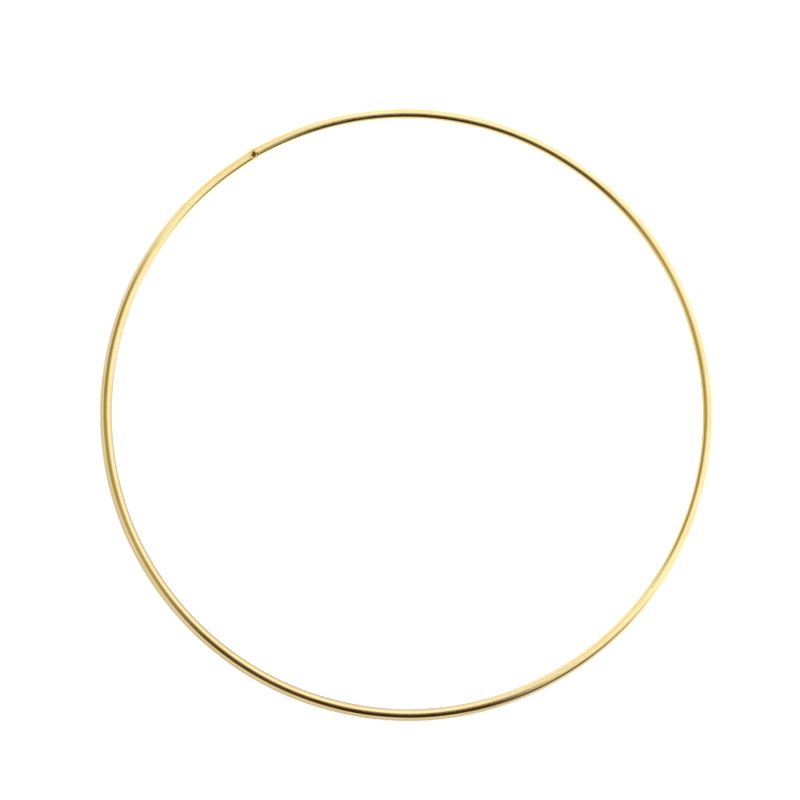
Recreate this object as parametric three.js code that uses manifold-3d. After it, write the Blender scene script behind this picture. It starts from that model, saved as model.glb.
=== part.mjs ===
// Wreath frame: one length of round wire bent into a flat ring, with its two cut ends butt welded.
//
// Millimetres, +Z up. The ring lies flat with Z as its axis. The origin is the centre of the ring,
// on the surface that the ring rests on. Both pieces are built with the joint on +X, where X points
// outward across the wire, Y runs along it and Z is up, and the group then turns the joint to its place.

import * as THREE from "three";
import { mergeVertices } from "three/addons/utils/BufferGeometryUtils.js";
import Module from "manifold-3d";

// Driving dimensions of the ring
const INSIDE_DIAMETER = 150; // the size that the ring is sold by
const WIRE_DIAMETER = 3;
const JOINT_ANGLE = 120.4; // degrees anticlockwise from +X, seen from above

// Driving dimensions of the joint
const END_GAP = 1.1; // between the wire's two cut ends, along its centre line
const WELD_CLEARANCE = 0.1; // between the weld and each cut end
const FLASH_HEIGHT = 0.12; // how far the weld's crest stands proud of the wire
const CRATER_WIDTH = 1.2; // of the unfilled crater in the top of the weld, across the wire
const CRATER_INSET = 0.15; // from the middle of the section to the crater's, toward the ring's inside
const CRATER_FLOOR = 2.3; // height of the crater's lowest point

// Facets: the section has flats at its bottom, top, inside and outside
const SECTION_SIDES = 16;
const RING_STEPS = 144;
const WELD_SIDES = 32;
const WELD_STEPS = 8;

// Sizes that follow from the dimensions above
const WIRE_RADIUS = WIRE_DIAMETER / 2;
const RING_RADIUS = INSIDE_DIAMETER / 2 + WIRE_RADIUS; // of the wire's centre line
const WELD_LENGTH = END_GAP - 2 * WELD_CLEARANCE;

const wasm = await Module();
wasm.setup();

// The wire's centre line: a flat circle that starts and stops half the end gap short of +X.
class RingCentreLine extends THREE.Curve {
  getPoint(t, target = new THREE.Vector3()) {
    const gapAngle = END_GAP / RING_RADIUS;
    const angle = gapAngle / 2 + t * (2 * Math.PI - gapAngle);
    return target.set(RING_RADIUS * Math.cos(angle), RING_RADIUS * Math.sin(angle), WIRE_RADIUS);
  }
}

// The wire's section, a regular polygon whose flats lie a wire radius from its centre.
function wireSection() {
  const cornerRadius = WIRE_RADIUS / Math.cos(Math.PI / SECTION_SIDES);
  const corners = [];
  for (let side = 0; side < SECTION_SIDES; side++) {
    const angle = ((side + 0.5) * 2 * Math.PI) / SECTION_SIDES;
    corners.push(new THREE.Vector2(cornerRadius * Math.cos(angle), cornerRadius * Math.sin(angle)));
  }
  return new THREE.Shape(corners);
}

// The bent wire, open at the joint, with both ends cut square.
function ringWireGeometry() {
  return new THREE.ExtrudeGeometry(wireSection(), {
    extrudePath: new RingCentreLine(),
    steps: RING_STEPS,
    bevelEnabled: false,
  });
}

// A closed three.js geometry as a manifold-3d solid.
function solidOf(geometry) {
  const bare = geometry.index ? geometry.toNonIndexed() : geometry.clone();
  bare.deleteAttribute("normal");
  bare.deleteAttribute("uv");
  const merged = mergeVertices(bare);
  return new wasm.Manifold(
    new wasm.Mesh({
      numProp: 3,
      vertProperties: merged.attributes.position.array,
      triVerts: new Uint32Array(merged.index.array),
    }),
  );
}

// A manifold-3d solid as a flat-shaded three.js geometry.
function geometryOf(solid) {
  const mesh = solid.getMesh();
  const indexed = new THREE.BufferGeometry();
  indexed.setAttribute("position", new THREE.BufferAttribute(mesh.vertProperties, 3));
  indexed.setIndex(new THREE.BufferAttribute(mesh.triVerts, 1));
  const flat = indexed.toNonIndexed();
  flat.computeVertexNormals();
  return flat;
}

// The weld metal before it is trimmed: a barrel along Y that is as thick as the wire at its ends.
function barrelGeometry() {
  const profile = [new THREE.Vector2(0, -WELD_LENGTH / 2)];
  for (let step = 0; step <= WELD_STEPS; step++) {
    const along = step / WELD_STEPS;
    const radius = WIRE_RADIUS + FLASH_HEIGHT * Math.sin(Math.PI * along);
    profile.push(new THREE.Vector2(radius, (along - 0.5) * WELD_LENGTH));
  }
  profile.push(new THREE.Vector2(0, WELD_LENGTH / 2));
  return new THREE.LatheGeometry(profile, WELD_SIDES);
}

// What the weld left unfilled: a round-bottomed trench that runs along the wire, open at the top.
function craterGeometry() {
  const halfWidth = CRATER_WIDTH / 2;
  const outline = new THREE.Shape();
  outline.moveTo(halfWidth, WIRE_DIAMETER);
  outline.lineTo(-halfWidth, WIRE_DIAMETER);
  outline.absarc(0, 0, halfWidth, Math.PI, 2 * Math.PI, false);
  outline.closePath();
  const crater = new THREE.ExtrudeGeometry(outline, {
    depth: WIRE_DIAMETER,
    curveSegments: WELD_STEPS,
    bevelEnabled: false,
  });
  const arcHeight = CRATER_FLOOR + halfWidth - WIRE_RADIUS;
  return crater.rotateX(Math.PI / 2).translate(-CRATER_INSET, WIRE_RADIUS, arcHeight);
}

// What is ground off under the weld, so that the ring still lies flat.
function undersideTrimGeometry() {
  const trim = new THREE.BoxGeometry(2 * WIRE_DIAMETER, 2 * WIRE_DIAMETER, WIRE_DIAMETER);
  return trim.translate(0, 0, -WIRE_RADIUS - WIRE_DIAMETER / 2);
}

// The weld between the wire's two ends, centred on its own section.
function buttWeldGeometry() {
  const barrel = solidOf(barrelGeometry());
  const crater = solidOf(craterGeometry());
  const undersideTrim = solidOf(undersideTrimGeometry());
  return geometryOf(barrel.subtract(crater).subtract(undersideTrim));
}

function brassPlate() {
  return new THREE.MeshStandardMaterial({ color: 0xd8b45a, roughness: 0.22, metalness: 1 });
}

function heatDarkenedPlate() {
  return new THREE.MeshStandardMaterial({ color: 0x8a6a2c, roughness: 0.5, metalness: 0.9 });
}

function namedMesh(name, geometry, material) {
  const mesh = new THREE.Mesh(geometry, material);
  mesh.name = name;
  return mesh;
}

const ringWire = namedMesh("ring_wire", ringWireGeometry(), brassPlate());

const buttWeld = namedMesh("butt_weld", buttWeldGeometry(), heatDarkenedPlate());
buttWeld.position.set(RING_RADIUS, 0, WIRE_RADIUS);

const wreathFrame = new THREE.Group();
wreathFrame.rotation.z = THREE.MathUtils.degToRad(JOINT_ANGLE);
wreathFrame.add(ringWire, buttWeld);

export default wreathFrame;
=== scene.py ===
"""Looks of the wreath frame: a bright brass-plated wire ring with a butt weld, lying on a pale studio floor.

Metres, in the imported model's frame: Z is the ring's axis and the ring rests on Z = 0. A place along the wire
is a distance from the middle of the weld, anticlockwise seen from above. Across the wire, a section has its
own two axes from its centre: outward from the middle of the ring, and up.
"""

import math

import bpy
import numpy as np
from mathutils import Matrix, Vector, noise


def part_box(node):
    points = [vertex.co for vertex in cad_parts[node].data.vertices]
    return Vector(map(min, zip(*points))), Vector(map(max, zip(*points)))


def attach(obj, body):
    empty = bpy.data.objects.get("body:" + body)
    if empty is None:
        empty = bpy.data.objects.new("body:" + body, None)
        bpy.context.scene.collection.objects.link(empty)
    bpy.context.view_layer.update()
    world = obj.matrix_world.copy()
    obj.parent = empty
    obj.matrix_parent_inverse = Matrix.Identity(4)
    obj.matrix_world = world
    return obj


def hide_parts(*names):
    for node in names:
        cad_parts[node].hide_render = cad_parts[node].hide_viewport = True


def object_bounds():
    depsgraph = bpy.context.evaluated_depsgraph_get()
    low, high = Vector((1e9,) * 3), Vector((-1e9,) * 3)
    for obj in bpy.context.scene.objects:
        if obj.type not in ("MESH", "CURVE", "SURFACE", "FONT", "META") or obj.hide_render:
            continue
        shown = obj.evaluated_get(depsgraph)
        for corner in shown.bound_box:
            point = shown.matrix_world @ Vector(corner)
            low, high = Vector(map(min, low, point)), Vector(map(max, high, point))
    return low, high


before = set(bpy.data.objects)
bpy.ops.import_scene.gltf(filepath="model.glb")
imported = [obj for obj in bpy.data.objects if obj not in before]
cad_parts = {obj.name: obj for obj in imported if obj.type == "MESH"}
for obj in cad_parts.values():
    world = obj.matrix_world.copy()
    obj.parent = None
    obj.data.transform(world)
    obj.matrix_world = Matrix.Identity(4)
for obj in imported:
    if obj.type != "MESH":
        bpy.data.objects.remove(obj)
cad_low, cad_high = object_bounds()

MM = 0.001

# The wire and the weld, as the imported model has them
wire_low, wire_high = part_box("ring_wire")
weld_low, weld_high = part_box("butt_weld")
wire_radius = (wire_high.z - wire_low.z) / 2
ring_radius = (wire_high.x - wire_low.x) / 2 - wire_radius
weld_middle = (weld_low + weld_high) / 2
weld_angle = math.atan2(weld_middle.y, weld_middle.x)
wire_length = 2 * math.pi * ring_radius

# How the real ring departs from a perfect one
OVAL_SHARE = 0.003  # of the radius, longer along OVAL_ANGLE and shorter across it
OVAL_ANGLE = math.radians(135)
PEAK_HEIGHT = 0.10 * MM  # the ends stay a little straight, so the joint stands outward
PEAK_REACH = 4 * MM
END_STEP = 0.05 * MM  # how far each end is off the middle: out on the clockwise side, in on the other
STEP_REACH = 9 * MM
STEP_TURN = 0.25 * MM  # the weld takes up the step between the two ends over about this distance
# Waves round the ring, their height and their phase. They only take the wire inward, within the CAD model.
RIPPLES = ((5, 0.025 * MM, 0.4), (9, 0.018 * MM, 2.1), (16, 0.010 * MM, 4.0), (31, 0.004 * MM, 1.3))

# The cut ends
GAP_HALF = 0.55 * MM  # from the weld's middle to each cut end
CUT_FILLET = 0.12 * MM
CAP_SIZES = (0.02, 0.35, 0.7)  # of the rings of points that close each cut end, as shares of the section

# The weld's bead, in millimetres. A turn round its section is in radians, from outward toward up.
BEAD_HALF = 0.86  # from its middle to where it has sunk under the wire's surface
BEAD_EDGE = 0.62  # from its middle to its edges, which are wavy
EDGE_WAVES = ((3, 0.07, 0.7), (8, 0.04, 2.0))  # waves round each edge, their height and their phase
BEAD_SINK = 0.07
SINK_START, SINK_END = -0.05, 0.16  # past the edge
FLASH_HEIGHT = 0.07
FLASH_LUMPS = ((-0.30, 0.28, 1.0), (0.32, 0.22, 0.5))  # place, spread and share of the flash height
FLASH_MEAN, FLASH_SWING = 0.6, 0.4  # how its height varies round the section
FLASH_TURN = 0.5  # where it is highest
NOTCH_DEPTH = 0.15  # of the dip where the weld falls short of the ring's outside
NOTCH_PLACE, NOTCH_SPREAD = 0.05, 0.24  # along the wire
NOTCH_TURN = 0.25  # where it is deepest
NOTCH_START, NOTCH_FULL = 0.3, 1.0  # as cosines of the turn from there

# The weld's crater, in millimetres outward and along the wire, and up from the section's centre
CRATER_MIDDLE = (-0.15, 0.02)
CRATER_OUTLINE = (
    (-0.66, -0.20), (-0.54, -0.38), (-0.26, -0.44), (0.10, -0.46), (0.30, -0.40), (0.38, -0.24),
    (0.32, 0.05), (0.18, 0.32), (-0.05, 0.52), (-0.34, 0.64), (-0.56, 0.58), (-0.68, 0.26),
)
CRATER_LEVELS = ((0.85, 0.62), (1.0, 0.88), (1.25, 1.08), (2.2, 1.3))  # each height and the outline's size

# The weld's skin, in millimetres
VOXEL = 0.045
LUMP_FINENESS, LUMP_HEIGHT = 2.3, 0.035  # cells of noise to a millimetre, and how far they stand up
GRAIN_FINENESS, GRAIN_HEIGHT = 7.0, 0.012
GRAIN_SHIFT = 5.0  # takes the grains from another part of the noise than the lumps
SCORCH_START, SCORCH_FULL = 0.03, 0.30  # under the wire's surface
SCORCH_LOWEST, SCORCH_HALF = 0.5, 0.7  # up from the section's centre, and along the wire from the middle
HALO_SHARE = 0.5  # how scorched the bead is right beside the crater
HALO_MIDDLE = -0.15  # outward from the section's centre
HALO_ACROSS, HALO_ALONG = 0.55, 0.60  # how far it spreads

# Mesh fineness
WIRE_STEPS = 1080
SECTION_STEPS = 40
FILLET_STEPS = 5
BEAD_ROWS = 49
BEAD_SIDES = 96

# Colours of the metal, each with its alpha
BRASS_DEEP, BRASS_LIGHT = (0.92, 0.71, 0.36, 1), (0.95, 0.76, 0.42, 1)
DRAWN_LINE_BRASS = (0.84, 0.62, 0.27, 1)
PINHOLE_BROWN = (0.30, 0.17, 0.05, 1)
HEATED_BRASS = (0.62, 0.40, 0.13, 1)
WELD_DEEP, WELD_LIGHT = (0.74, 0.52, 0.20, 1), (0.88, 0.67, 0.31, 1)
GRAIN_BROWN = (0.35, 0.20, 0.06, 1)
SCORCH_BROWN = (0.34, 0.20, 0.03, 1)

# The plating
DRAWN_LINE_FINENESS = (60.0, 9000.0, 1.0)  # cells of noise to a metre, along the wire and round it
HEAT_FULL, HEAT_GONE = 0.9 * MM, 2.4 * MM  # how far the weld's heat dulled it, from the weld's middle
HEAT_RAGGED = 1.2 * MM  # how much that edge wanders

# The picture
RING_SHARE = 0.7663  # of the picture's width that the ring's outside diameter takes
RING_RIGHT, RING_DOWN = 0.0080, 0.0180  # of the picture's width, from its middle to the ring's
LENS, SENSOR = 120.0, 36.0  # in millimetres, as Blender's cameras have them
KEY_REACH, KEY_HEIGHT = 0.11, 0.55  # from the ring's axis and from the floor
KEY_SIZE = 0.25
KEY_POWER = 1.1  # watts
FLOOR_HALF = 6.0
WHITE_FLOOR_DROP, GRADED_FLOOR_DROP = 0.02 * MM, 0.01 * MM  # under the plane that the ring rests on
FLOOR_EDGE = (-ring_radius, 0.6 * ring_radius)  # from its far side to its near side, toward the key light
# Each floor's paint on its far side and its near side: painted shade far from the key light and painted light
# near it.
# Then its glow on its far side, and on its near side outside the ring and inside it, which on the mirrored
# floor is painted light.
# The white floor's near side is painted a little lighter than its far side: painted light from the key lamp.
WHITE_PAINTS = (0.86, 0.86, 0.86), (0.90, 0.90, 0.90)
WHITE_GLOWS = (0.35, 0.35, 0.35), (0.35, 0.35, 0.35), (0.35, 0.35, 0.35)
# The mirrored floor: its grey-blue far side is painted shade, and its glow near the key light is painted
# light, strongest inside the ring, which the metal's flanks mirror as pale highlights.
MIRRORED_SHADE_PAINTS = (0.62, 0.63, 0.72), (0.92, 0.92, 0.92)
MIRRORED_PAINTED_LIGHT_GLOWS = (0.0, 0.0, 0.0), (0.28, 0.38, 0.75), (0.45, 0.62, 1.20)
BACKDROP_HALF = 4.0  # half its height
BACKDROP_SIDES = 64
PANEL_HEIGHT = 5 * ring_radius  # of the overhead panel, above the wire's middle
PANEL_HALF = 4  # half its side, in its own heights
PANEL_TURN = 50.0  # of its bright half and of the key light, in degrees anticlockwise from +X
PANEL_EDGE = (-0.27, 0.03)  # from grey to bright, in its own heights toward that side
PANEL_GREY, PANEL_BRIGHT = (0.90, 0.90, 0.82), (1.12, 1.19, 1.17)
TENT_EDGE = (-0.6, 0.3)  # from grey to bright, as cosines of the angle from the key light's side
TENT_GREY, TENT_BRIGHT = (0.68, 0.68, 0.67), (0.98, 0.98, 0.97)


def smooth(low, high, value):
    """0 below low, 1 above high and a smooth rise between them."""
    t = np.clip((value - low) / (high - low), 0, 1)
    return t * t * (3 - 2 * t)


def band(here, there, count):
    """Faces between two rings of count points each, from the index of each ring's first point."""
    following = [(j + 1) % count for j in range(count)]
    return [(here + j, here + k, there + k, there + j) for j, k in enumerate(following)]


def plain_object(name, points, faces):
    """A mesh object without a material, in the scene."""
    mesh = bpy.data.meshes.new(name)
    mesh.from_pydata([tuple(p) for p in points], [], faces)
    made = bpy.data.objects.new(name, mesh)
    bpy.context.scene.collection.objects.link(made)
    return made


def finished_object(name, points, faces, material):
    """A smooth-shaded mesh object with its material, in the scene."""
    made = plain_object(name, points, faces)
    made.data.polygons.foreach_set("use_smooth", [True] * len(faces))
    made.data.materials.append(material)
    made.data.update()
    return made


# ---------------------------------------------------------------- the wire


def centre_line(place):
    """Angle round the ring and distance from its axis of the wire's centre line, at a place along it."""
    angle = weld_angle + place / ring_radius
    from_weld = (place + wire_length / 2) % wire_length - wire_length / 2
    radius = ring_radius * (1 + OVAL_SHARE * np.cos(2 * (angle - OVAL_ANGLE)))
    radius = radius + PEAK_HEIGHT * np.exp(-((from_weld / PEAK_REACH) ** 2))
    step = np.tanh(from_weld / STEP_TURN) * np.exp(-((from_weld / STEP_REACH) ** 2))
    radius = radius - END_STEP * step
    for waves, height, phase in RIPPLES:
        radius = radius + height * (np.sin(waves * (angle - weld_angle) + phase) - 1)
    return angle, radius


def in_ring(place, out, up):
    """World points from a place along the wire and the section's own axes, within the CAD model's height."""
    angle, radius = centre_line(place)
    return np.stack([
        (radius + out) * np.cos(angle),
        (radius + out) * np.sin(angle),
        np.clip(wire_radius + up, 0, cad_high.z),
    ], axis=-1)


def wire_stations():
    """Places along the wire and the size of the section there, from one closed, rounded end to the other."""
    turns = np.linspace(0, math.pi / 2, FILLET_STEPS, endpoint=False)
    cap_places = np.full(len(CAP_SIZES), GAP_HALF)
    end_places = np.concatenate([cap_places, GAP_HALF + CUT_FILLET * (1 - np.cos(turns))])
    end_sizes = np.concatenate([CAP_SIZES, 1 - CUT_FILLET / wire_radius * (1 - np.sin(turns))])
    run = np.linspace(GAP_HALF + CUT_FILLET, wire_length - GAP_HALF - CUT_FILLET, WIRE_STEPS + 1)
    places = np.concatenate([end_places, run, wire_length - end_places[::-1]])
    sizes = np.concatenate([end_sizes, np.ones(len(run)), end_sizes[::-1]])
    return places, sizes


def make_wire(material):
    """The bent wire, with a map of places along it and round its section for the lines in the plating."""
    places, sizes = wire_stations()
    turn = (np.arange(SECTION_STEPS) + 0.5) * 2 * math.pi / SECTION_STEPS
    place, around = np.meshgrid(places, turn, indexing="ij")
    section = wire_radius * sizes[:, None]
    points = in_ring(place, section * np.cos(around), section * np.sin(around)).reshape(-1, 3)
    rows = len(places)
    side = 2 * math.pi * wire_radius / SECTION_STEPS
    faces, corners = [], []
    for i in range(rows - 1):
        here, there = i * SECTION_STEPS, (i + 1) * SECTION_STEPS
        faces += band(here, there, SECTION_STEPS)
        near, far = places[i], places[i + 1]
        for j in range(SECTION_STEPS):
            corners += [(near, j * side), (near, (j + 1) * side), (far, (j + 1) * side), (far, j * side)]
    first = tuple(range(SECTION_STEPS))
    faces += [first[::-1], tuple((rows - 1) * SECTION_STEPS + j for j in first)]
    corners += [(places[0], 0)] * SECTION_STEPS + [(places[-1], 0)] * SECTION_STEPS
    wire = finished_object("bent_wire", points, faces, material)
    layer = wire.data.uv_layers.new(name="AlongWire")
    layer.data.foreach_set("uv", np.asarray(corners, np.float32).ravel())
    return wire


# ---------------------------------------------------------------- the weld, in millimetres until it is placed


def flash(along, around):
    """How far the bead stands proud of the wire."""
    crest = sum(share * np.exp(-(((along - place) / spread) ** 2)) for place, spread, share in FLASH_LUMPS)
    return FLASH_HEIGHT * crest * (FLASH_MEAN + FLASH_SWING * np.cos(around - FLASH_TURN))


def notch(along, around):
    """How deep the dip toward the ring's outside is."""
    length_share = np.exp(-(((along - NOTCH_PLACE) / NOTCH_SPREAD) ** 2))
    return NOTCH_DEPTH * length_share * smooth(NOTCH_START, NOTCH_FULL, np.cos(around - NOTCH_TURN))


def sinking(along, around):
    """How far the bead goes under the wire's surface past its wavy edges."""
    edge = BEAD_EDGE
    for waves, height, phase in EDGE_WAVES:
        edge = edge + height * np.sin(waves * around + phase)
    return BEAD_SINK * smooth(SINK_START, SINK_END, np.abs(along) - edge)


def bead_blank():
    """Weld metal before the crater: a lumpy collar along Y, with X outward and Z up."""
    places = np.linspace(-BEAD_HALF, BEAD_HALF, BEAD_ROWS)
    turn = np.linspace(0, 2 * math.pi, BEAD_SIDES, endpoint=False)
    along, around = np.meshgrid(places, turn, indexing="ij")
    radius = wire_radius / MM + flash(along, around) - notch(along, around) - sinking(along, around)
    points = np.stack([radius * np.cos(around), along, radius * np.sin(around)], axis=-1).reshape(-1, 3)
    faces = []
    for i in range(BEAD_ROWS - 1):
        here, there = i * BEAD_SIDES, (i + 1) * BEAD_SIDES
        for j in range(BEAD_SIDES):
            k = (j + 1) % BEAD_SIDES
            faces.append((here + j, there + j, there + k, here + k))
    first = tuple(range(BEAD_SIDES))
    faces += [first, tuple((BEAD_ROWS - 1) * BEAD_SIDES + j for j in first)[::-1]]
    return plain_object("bead_blank", points, faces)


def crater_blank():
    """What the weld left unfilled: a bowl in its top, steep on the clockwise side and sloped on the other."""
    middle_x, middle_y = CRATER_MIDDLE
    points = []
    for height, size in CRATER_LEVELS:
        points += [(middle_x + (x - middle_x) * size, middle_y + (y - middle_y) * size, height)
                   for x, y in CRATER_OUTLINE]
    count = len(CRATER_OUTLINE)
    last = len(CRATER_LEVELS) - 1
    first = tuple(range(count))
    faces = [first[::-1], tuple(last * count + j for j in first)]
    for level in range(last):
        faces += band(level * count, (level + 1) * count, count)
    return plain_object("crater_blank", points, faces)


def sculpted_weld():
    """The bead with its crater cut, its edges melted soft and its skin roughened: its points and faces."""
    bead, crater = bead_blank(), crater_blank()
    cut = bead.modifiers.new("cut", "BOOLEAN")
    cut.operation = "DIFFERENCE"
    cut.object = crater
    voxels = bead.modifiers.new("voxels", "REMESH")
    voxels.mode = "VOXEL"
    voxels.voxel_size = VOXEL
    melt = bead.modifiers.new("melt", "SMOOTH")
    melt.factor = 0.5
    melt.iterations = 7
    mesh = bead.evaluated_get(bpy.context.evaluated_depsgraph_get()).to_mesh()
    points = np.array([v.co[:] for v in mesh.vertices])
    normals = np.array([v.normal[:] for v in mesh.vertices])
    faces = [tuple(p.vertices) for p in mesh.polygons]
    for blank in (bead, crater):
        bpy.data.objects.remove(blank)
    lumps = np.array([noise.noise(Vector(p * LUMP_FINENESS)) for p in points])
    grains = np.array([noise.noise(Vector(p * GRAIN_FINENESS + GRAIN_SHIFT)) for p in points])
    return points + normals * (LUMP_HEIGHT * lumps + GRAIN_HEIGHT * grains)[:, None], faces


def scorching(out, along, up):
    """How scorched the weld is at its points: wholly in the crater, and less round it."""
    depth = wire_radius / MM - np.hypot(out, up)
    crater = smooth(SCORCH_START, SCORCH_FULL, depth) * (up > SCORCH_LOWEST) * (np.abs(along) < SCORCH_HALF)
    halo = np.exp(-(((out - HALO_MIDDLE) / HALO_ACROSS) ** 2) - (along / HALO_ALONG) ** 2) * (up > 0)
    return np.maximum(crater, HALO_SHARE * halo)


def make_weld(material):
    """The weld bead, in its place on the ring, with how scorched it is at each point."""
    points, faces = sculpted_weld()
    out, along, up = points.T
    weld = finished_object("weld_bead", in_ring(along * MM, out * MM, up * MM), faces, material)
    layer = weld.data.attributes.new("scorch", "FLOAT", "POINT")
    layer.data.foreach_set("value", scorching(out, along, up).astype(np.float32))
    return weld


# ---------------------------------------------------------------- materials


class Nodes:
    """Short forms for building one node tree."""

    def __init__(self, tree):
        self.tree = tree
        tree.nodes.clear()

    def new(self, kind, **settings):
        node = self.tree.nodes.new(kind)
        for name, value in settings.items():
            setattr(node, name, value)
        return node

    def link(self, value, socket):
        if isinstance(value, bpy.types.NodeSocket):
            self.tree.links.new(value, socket)
        else:
            socket.default_value = value

    def math(self, operation, a, b=0.0):
        node = self.new("ShaderNodeMath", operation=operation)
        self.link(a, node.inputs[0])
        self.link(b, node.inputs[1])
        return node.outputs[0]

    def range(self, value, low, high, to_low=0.0, to_high=1.0):
        node = self.new("ShaderNodeMapRange", interpolation_type="SMOOTHSTEP")
        for socket, given in zip(node.inputs, (value, low, high, to_low, to_high)):
            self.link(given, socket)
        return node.outputs[0]

    def turned(self, a, b, angle):
        """The first axis of a pair of axes that is turned by an angle."""
        along_a = self.math("MULTIPLY", a, math.cos(angle))
        return self.math("ADD", along_a, self.math("MULTIPLY", b, math.sin(angle)))

    def mix(self, share, a, b):
        node = self.new("ShaderNodeMix", data_type="RGBA")
        self.link(share, node.inputs[0])
        self.link(a, node.inputs[6])
        self.link(b, node.inputs[7])
        return node.outputs[2]

    def noise(self, vector, scale, detail=3.0, roughness=0.5, distortion=0.0):
        node = self.new("ShaderNodeTexNoise", noise_dimensions="3D")
        self.link(vector, node.inputs["Vector"])
        self.link(scale, node.inputs["Scale"])
        self.link(detail, node.inputs["Detail"])
        self.link(roughness, node.inputs["Roughness"])
        self.link(distortion, node.inputs["Distortion"])
        return node.outputs["Fac"]

    def stretched(self, vector, scale):
        node = self.new("ShaderNodeVectorMath", operation="MULTIPLY")
        self.link(vector, node.inputs[0])
        node.inputs[1].default_value = scale
        return node.outputs[0]

    def bump(self, height, distance, strength, normal=None):
        node = self.new("ShaderNodeBump")
        self.link(strength, node.inputs["Strength"])
        self.link(distance, node.inputs["Distance"])
        self.link(height, node.inputs["Height"])
        if normal is not None:
            self.link(normal, node.inputs["Normal"])
        return node.outputs["Normal"]


def new_material(name):
    """A material with an empty node tree, and the short forms for filling it."""
    material = bpy.data.materials.new(name)
    material.use_nodes = True
    return material, Nodes(material.node_tree)


def finish_metal(nodes, colour, roughness, normal):
    """Bare metal with this colour, roughness and relief, as the material's output."""
    shader = nodes.new("ShaderNodeBsdfPrincipled")
    shader.inputs["Metallic"].default_value = 1.0
    nodes.link(colour, shader.inputs["Base Color"])
    nodes.link(roughness, shader.inputs["Roughness"])
    nodes.link(normal, shader.inputs["Normal"])
    output = nodes.new("ShaderNodeOutputMaterial")
    nodes.link(shader.outputs[0], output.inputs["Surface"])


def near_ends(nodes, along, ragged):
    """1 beside the weld, where its heat dulled the plating, fading to 0 a few millimetres along the wire."""
    parts = nodes.new("ShaderNodeSeparateXYZ")
    nodes.link(along, parts.inputs[0])
    place = parts.outputs[0]
    from_weld = nodes.math("MINIMUM", place, nodes.math("SUBTRACT", wire_length, place))
    from_weld = nodes.math("ADD", from_weld, nodes.math("MULTIPLY", ragged, HEAT_RAGGED))
    return nodes.range(from_weld, HEAT_FULL, HEAT_GONE, to_low=1.0, to_high=0.0)


def brass_plate():
    """Bright plating over drawn wire: fine lengthwise lines, faint smears and a few pinholes."""
    material, nodes = new_material("brass_plate")
    place = nodes.new("ShaderNodeTexCoord").outputs["Object"]
    along = nodes.new("ShaderNodeUVMap", uv_map="AlongWire").outputs[0]
    clouds = nodes.noise(place, scale=90.0, detail=3.0)
    smears = nodes.noise(place, scale=420.0, detail=4.0, roughness=0.6, distortion=0.4)
    lines = nodes.noise(nodes.stretched(along, DRAWN_LINE_FINENESS), scale=1.0, detail=3.0, roughness=0.6)
    pinholes = nodes.range(nodes.noise(place, scale=1900.0, detail=2.0), low=0.70, high=0.76)
    heat = near_ends(nodes, along, smears)
    colour = nodes.mix(nodes.range(clouds, low=0.35, high=0.65), BRASS_DEEP, BRASS_LIGHT)
    for share, wear, tint in (
        (0.18, lines, DRAWN_LINE_BRASS),
        (0.5, pinholes, PINHOLE_BROWN),
        (0.25, heat, HEATED_BRASS),
    ):
        colour = nodes.mix(nodes.math("MULTIPLY", wear, share), colour, tint)
    roughness = nodes.range(smears, low=0.3, high=0.75, to_low=0.045, to_high=0.095)
    for share, wear in ((0.03, lines), (0.2, pinholes), (0.08, heat)):
        roughness = nodes.math("ADD", roughness, nodes.math("MULTIPLY", wear, share))
    normal = nodes.bump(lines, distance=0.004 * MM, strength=0.3)
    normal = nodes.bump(smears, distance=0.008 * MM, strength=0.25, normal=normal)
    finish_metal(nodes, colour, roughness, normal)
    return material


def weld_plate():
    """The same plating over rough weld metal, thin and scorched inside the crater."""
    material, nodes = new_material("weld_plate")
    place = nodes.new("ShaderNodeTexCoord").outputs["Object"]
    scorch = nodes.new("ShaderNodeAttribute", attribute_name="scorch").outputs["Fac"]
    grains = nodes.noise(place, scale=2600.0, detail=4.0, roughness=0.6, distortion=0.3)
    clouds = nodes.noise(place, scale=900.0, detail=3.0)
    colour = nodes.mix(nodes.range(clouds, low=0.3, high=0.7), WELD_DEEP, WELD_LIGHT)
    colour = nodes.mix(nodes.range(grains, low=0.55, high=0.8, to_high=0.4), colour, GRAIN_BROWN)
    colour = nodes.mix(scorch, colour, SCORCH_BROWN)
    roughness = nodes.range(grains, low=0.3, high=0.7, to_low=0.18, to_high=0.38)
    roughness = nodes.math("ADD", roughness, nodes.math("MULTIPLY", scorch, 0.2))
    finish_metal(nodes, colour, roughness, nodes.bump(grains, distance=0.04 * MM, strength=0.6))
    return material


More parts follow.
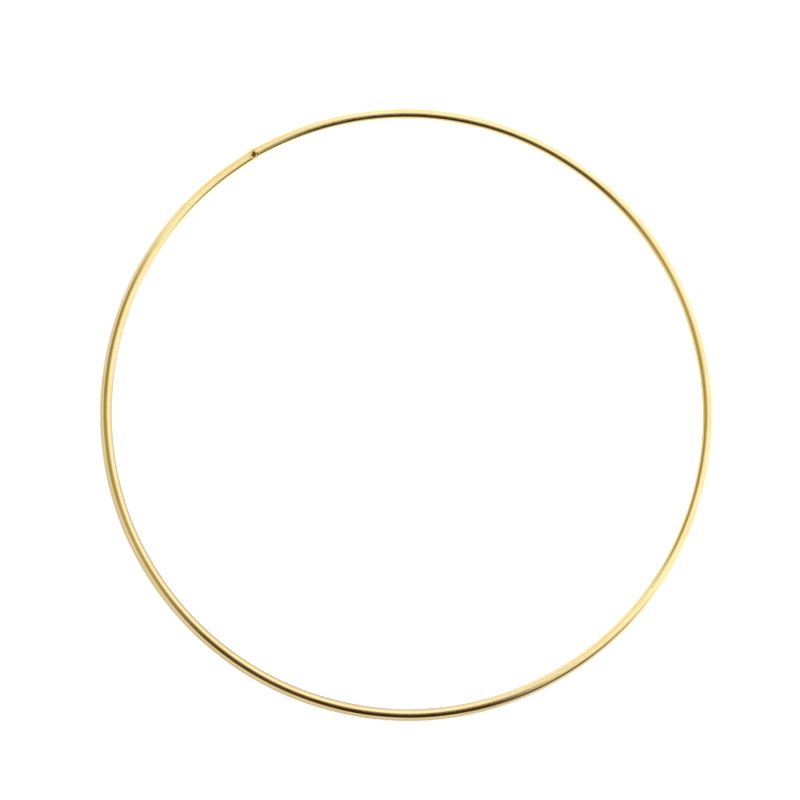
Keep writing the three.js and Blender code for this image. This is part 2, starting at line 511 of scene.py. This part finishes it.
def floor_paint(name, paints, glows):
    """Matt paint that glows. Both change from the far side of the floor to the side near the key light:
    painted shade on the far side and painted light on the near side.
    """
    material, nodes = new_material(name)
    place = nodes.new("ShaderNodeTexCoord").outputs["Object"]
    parts = nodes.new("ShaderNodeSeparateXYZ")
    nodes.link(place, parts.inputs[0])
    toward = nodes.turned(parts.outputs[0], parts.outputs[1], math.radians(PANEL_TURN))
    side = nodes.range(toward, *FLOOR_EDGE)
    from_axis = nodes.new("ShaderNodeVectorMath", operation="LENGTH")
    nodes.link(place, from_axis.inputs[0])
    distance = from_axis.outputs["Value"]
    inside = nodes.range(distance, ring_radius - wire_radius, ring_radius, to_low=1.0, to_high=0.0)
    far_paint, near_paint = [(*paint, 1) for paint in paints]
    far_glow, outside_glow, inside_glow = [(*glow, 1) for glow in glows]
    shader = nodes.new("ShaderNodeBsdfPrincipled")
    # Painted shade on the far side and painted light on the side near the key light, with the glow brightest
    # inside the ring.
    nodes.link(nodes.mix(side, far_paint, near_paint), shader.inputs["Base Color"])
    near_glow = nodes.mix(inside, outside_glow, inside_glow)
    nodes.link(nodes.mix(side, far_glow, near_glow), shader.inputs["Emission Color"])
    shader.inputs["Roughness"].default_value = 0.9
    shader.inputs["Specular IOR Level"].default_value = 0.1
    shader.inputs["Emission Strength"].default_value = 1.0
    output = nodes.new("ShaderNodeOutputMaterial")
    nodes.link(shader.outputs[0], output.inputs["Surface"])
    return material


# ---------------------------------------------------------------- the studio


def level_sheet(name, half, height, material):
    """A level square of the studio, round the ring's axis, from half its side and its height."""
    points = ((-half, -half, 0), (half, -half, 0), (half, half, 0), (-half, half, 0))
    sheet = finished_object(name, points, [(0, 1, 2, 3)], material)
    sheet.location.z = height
    return sheet


def make_floor():
    """A white floor, and one with painted shade and painted light, which shows only as it is mirrored in the
    metal.
    """
    white_paint = floor_paint("white_floor", WHITE_PAINTS, WHITE_GLOWS)
    white = level_sheet("studio_floor", FLOOR_HALF, -WHITE_FLOOR_DROP, white_paint)
    white.visible_glossy = False
    # The mirrored floor carries painted shade and painted light for the metal to reflect.
    shade_and_light_paint = floor_paint("floor_painted_shade_and_light", MIRRORED_SHADE_PAINTS, MIRRORED_PAINTED_LIGHT_GLOWS)
    mirrored = level_sheet("mirrored_floor", FLOOR_HALF, -GRADED_FLOOR_DROP, shade_and_light_paint)
    mirrored.visible_camera = False
    mirrored.visible_diffuse = False
    mirrored.visible_shadow = False


def make_backdrop():
    """A plain white wall round the floor, which only the camera sees."""
    material, nodes = new_material("backdrop_white")
    shader = nodes.new("ShaderNodeEmission")
    shader.inputs["Color"].default_value = (1, 1, 1, 1)
    output = nodes.new("ShaderNodeOutputMaterial")
    nodes.link(shader.outputs[0], output.inputs["Surface"])
    turn = np.linspace(0, 2 * math.pi, BACKDROP_SIDES, endpoint=False)
    rim = [(FLOOR_HALF * math.cos(t), FLOOR_HALF * math.sin(t)) for t in turn]
    points = [(x, y, height) for height in (-BACKDROP_HALF, BACKDROP_HALF) for x, y in rim]
    faces = band(0, BACKDROP_SIDES, BACKDROP_SIDES)
    wall = finished_object("studio_backdrop", points, faces, material)
    wall.visible_diffuse = False
    wall.visible_glossy = False
    wall.visible_shadow = False


# Dark and tinted flags on the overhead panel, each a wedge whose tip is over the ring's centre. First come
# the direction it points in, its half-angle and how soft its edges are, in degrees. Then come the distances
# from its tip where it starts and is full, and where it starts to fade and is gone, in the panel's heights.
# Its share and its colour come last.
FLAGS = (
    ((125, 18, 12), (0.3, 0.8), (5.0, 9.0), 0.35, (0.62, 0.48, 0.18)),
    ((225, 72, 12), (-0.1, 0.0), (0.6, 1.7), 0.80, (0.58, 0.55, 0.47)),
    ((206, 15, 8), (-0.1, 0.0), (0.2, 1.2), 0.80, (0.42, 0.34, 0.12)),
    ((184, 15, 8), (-0.1, 0.0), (0.6, 1.9), 0.92, (0.40, 0.33, 0.10)),
    ((163, 14, 8), (0.1, 0.5), (0.9, 2.1), 0.88, (0.31, 0.25, 0.07)),
    ((27, 34, 18), (-0.1, 0.0), (0.05, 0.8), 0.80, (0.38, 0.29, 0.09)),
    ((77, 35, 11), (-0.1, 0.0), (0.05, 0.7), 0.98, (0.06, 0.032, 0.007)),
    ((313, 9, 7), (0.9, 1.6), (4.0, 8.0), 0.60, (0.33, 0.28, 0.15)),
    ((298, 13, 9), (0.6, 1.0), (1.5, 5.0), 0.92, (0.12, 0.085, 0.03)),
    ((250, 29, 11), (-0.1, 0.0), (0.7, 1.7), 0.97, (0.07, 0.036, 0.008)),
    ((273, 20, 8), (-0.1, 0.0), (1.2, 1.9), 0.98, (0.045, 0.022, 0.004)),
)


def soft_wedge(nodes, across, along, axis, half_angle, softness):
    """1 inside a soft-edged wedge with its tip at the origin, 0 outside it."""
    long_way = nodes.turned(across, along, math.radians(axis))
    short_way = nodes.turned(along, across, -math.radians(axis))
    angle = nodes.math("ABSOLUTE", nodes.math("ARCTAN2", short_way, long_way))
    inner, outer = math.radians(half_angle - softness), math.radians(half_angle + softness)
    return nodes.range(angle, inner, outer, to_low=1.0, to_high=0.0)


def panel_glow():
    """Bright on the side of the key light and grey on the other, with the flags on it."""
    material, nodes = new_material("panel_glow")
    parts = nodes.new("ShaderNodeSeparateXYZ")
    nodes.link(nodes.new("ShaderNodeTexCoord").outputs["Object"], parts.inputs[0])
    across = nodes.math("DIVIDE", parts.outputs[0], PANEL_HEIGHT)
    along = nodes.math("DIVIDE", parts.outputs[1], PANEL_HEIGHT)
    squares = nodes.math("ADD", nodes.math("MULTIPLY", across, across), nodes.math("MULTIPLY", along, along))
    distance = nodes.math("SQRT", squares)
    toward = nodes.turned(across, along, math.radians(PANEL_TURN))
    colour = nodes.mix(nodes.range(toward, *PANEL_EDGE), (*PANEL_GREY, 1), (*PANEL_BRIGHT, 1))
    for wedge, (start, full), (fade, gone), share, tint in FLAGS:
        flag = nodes.math("MULTIPLY", soft_wedge(nodes, across, along, *wedge), share)
        flag = nodes.math("MULTIPLY", flag, nodes.range(distance, start, full))
        flag = nodes.math("MULTIPLY", flag, nodes.range(distance, fade, gone, to_low=1.0, to_high=0.0))
        colour = nodes.mix(flag, colour, (*tint, 1))
    shader = nodes.new("ShaderNodeEmission")
    nodes.link(colour, shader.inputs["Color"])
    output = nodes.new("ShaderNodeOutputMaterial")
    nodes.link(shader.outputs[0], output.inputs["Surface"])
    return material


def make_overhead_panel():
    """A level light panel over the ring, which shows only as it is mirrored in the metal."""
    panel = level_sheet("overhead_panel", PANEL_HALF * PANEL_HEIGHT, wire_radius + PANEL_HEIGHT, panel_glow())
    panel.visible_camera = False
    panel.visible_diffuse = False
    panel.visible_shadow = False


def make_light_tent():
    """A pale tent all round, brighter on the side of the key light."""
    world = bpy.data.worlds.new("light_tent")
    bpy.context.scene.world = world
    world.use_nodes = True
    nodes = Nodes(world.node_tree)
    parts = nodes.new("ShaderNodeSeparateXYZ")
    nodes.link(nodes.new("ShaderNodeTexCoord").outputs["Generated"], parts.inputs[0])
    toward = nodes.turned(parts.outputs[0], parts.outputs[1], math.radians(PANEL_TURN))
    colour = nodes.mix(nodes.range(toward, *TENT_EDGE), (*TENT_GREY, 1), (*TENT_BRIGHT, 1))
    background = nodes.new("ShaderNodeBackground")
    nodes.link(colour, background.inputs["Color"])
    output = nodes.new("ShaderNodeOutputWorld")
    nodes.link(background.outputs[0], output.inputs["Surface"])


def make_key_light():
    """The main lamp, above the bright side of the ring. The metal mirrors the panel and not the lamp."""
    lamp = bpy.data.lights.new("key_light", "AREA")
    lamp.shape = "DISK"
    lamp.size = KEY_SIZE
    lamp.energy = KEY_POWER
    key = bpy.data.objects.new("key_light", lamp)
    turn = math.radians(PANEL_TURN)
    key.location = (KEY_REACH * math.cos(turn), KEY_REACH * math.sin(turn), KEY_HEIGHT)
    key.visible_glossy = False
    bpy.context.scene.collection.objects.link(key)


def make_camera():
    """Straight above the ring, which it shows as large and as far off the middle as the photograph does."""
    data = bpy.data.cameras.new("overhead_camera")
    data.lens = LENS
    data.sensor_width = SENSOR
    width = 2 * (ring_radius + wire_radius) / RING_SHARE
    camera = bpy.data.objects.new("overhead_camera", data)
    distance = width * LENS / SENSOR
    camera.location = (-RING_RIGHT * width, RING_DOWN * width, wire_radius + distance)
    bpy.context.scene.collection.objects.link(camera)
    bpy.context.scene.camera = camera


def main():
    make_camera()
    make_light_tent()
    make_overhead_panel()
    make_key_light()
    make_floor()
    make_backdrop()
    wire = make_wire(brass_plate())
    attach(wire, "root")
    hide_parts("ring_wire")
    weld = make_weld(weld_plate())
    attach(weld, "root")
    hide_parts("butt_weld")
    bpy.context.scene.view_settings.view_transform = "Standard"


main()
